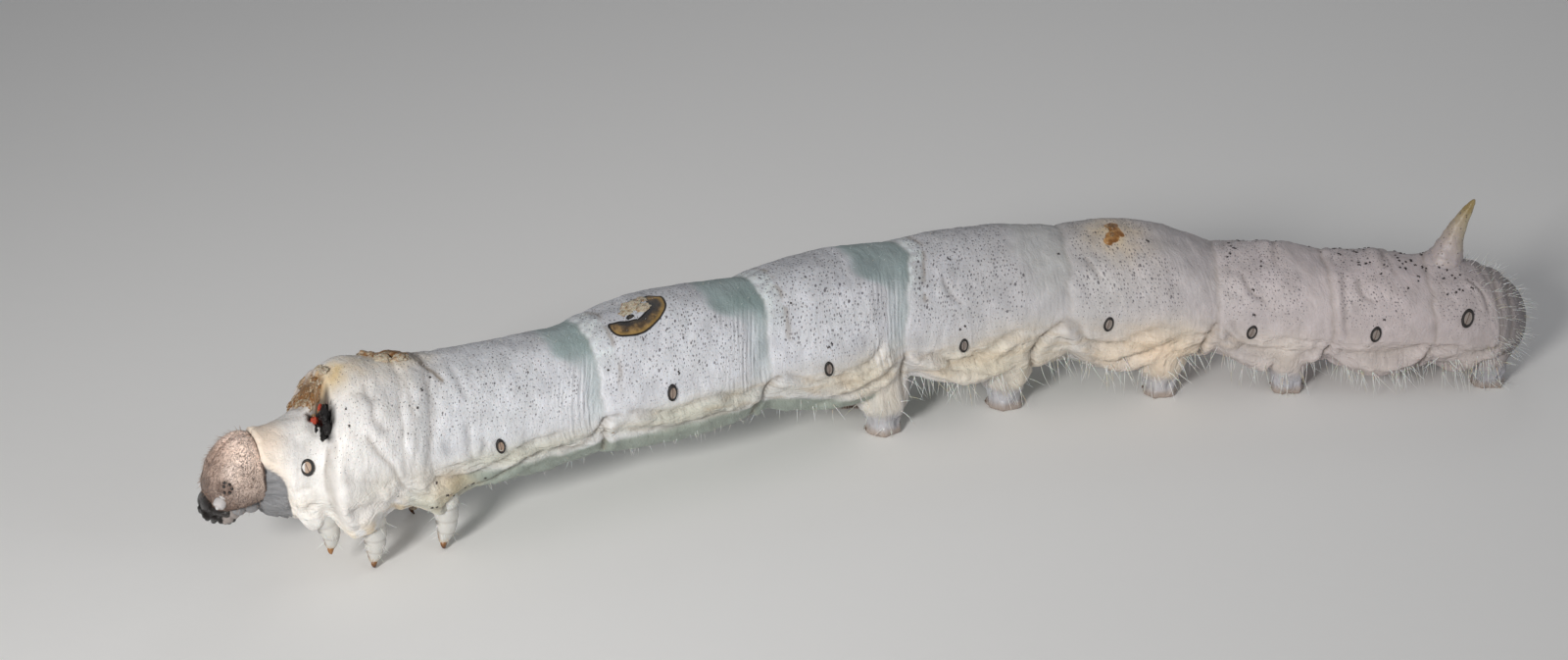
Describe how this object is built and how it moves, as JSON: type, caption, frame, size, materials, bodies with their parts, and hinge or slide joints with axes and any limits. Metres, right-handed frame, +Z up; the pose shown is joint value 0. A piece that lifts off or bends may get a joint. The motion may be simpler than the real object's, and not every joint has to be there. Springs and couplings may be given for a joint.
{
  "type": "silkworm",
  "caption": "Full-grown silkworm, the pale larva of the silk moth, standing on its legs and prolegs with a small horn near the tail.",
  "frame": {"origin": "middle of the animal's plan, on the floor it stands on", "axes": "+X towards the tail, -X towards the head, the left side faces -Y, +Z up"},
  "size_m": [0.074, 0.0262, 0.0109],
  "materials": {
    "skin": "soft satin skin, creased and finely speckled",
    "head_shell": "pinkish brown shell with a fine short fuzz",
    "jaw": "dark polished shell",
    "feeler": "pale grey translucent skin",
    "eye": "polished black lenses",
    "leg_shell": "translucent white shell",
    "claw": "brown polished shell",
    "horn": "translucent yellowish horn, flecked at the base",
    "bristle": "fine pale bristles",
    "breathing_hole": "black rim round a tan sieve plate",
    "scab": "dry brown crust on healed skin"
  },
  "bodies": {
    "root": {"abdomen_1": "skin", "abdomen_10": "skin", "abdomen_2": "skin", "abdomen_3": "skin", "abdomen_4": "skin", "abdomen_5": "skin", "abdomen_6": "skin", "abdomen_7": "skin", "abdomen_8": "skin", "abdomen_9": "skin", "anal_proleg_left": "skin", "anal_proleg_right": "skin", "antenna_left": "feeler", "antenna_right": "feeler", "claw_1_left": "claw", "claw_1_right": "claw", "claw_2_left": "claw", "claw_2_right": "claw", "claw_3_left": "claw", "claw_3_right": "claw", "eyes_left": "eye", "eyes_right": "eye", "head": "head_shell", "horn": "horn", "labium": "feeler", "labrum": "jaw", "leg_1_left": "leg_shell", "leg_1_right": "leg_shell", "leg_2_left": "leg_shell", "leg_2_right": "leg_shell", "leg_3_left": "leg_shell", "leg_3_right": "leg_shell", "mandible_left": "jaw", "mandible_right": "jaw", "maxilla_left": "feeler", "maxilla_right": "feeler", "proleg_3_left": "skin", "proleg_3_right": "skin", "proleg_4_left": "skin", "proleg_4_right": "skin", "proleg_5_left": "skin", "proleg_5_right": "skin", "proleg_6_left": "skin", "proleg_6_right": "skin", "thorax_1": "skin", "thorax_2": "skin", "thorax_3": "skin"}
  },
  "joints": []
}
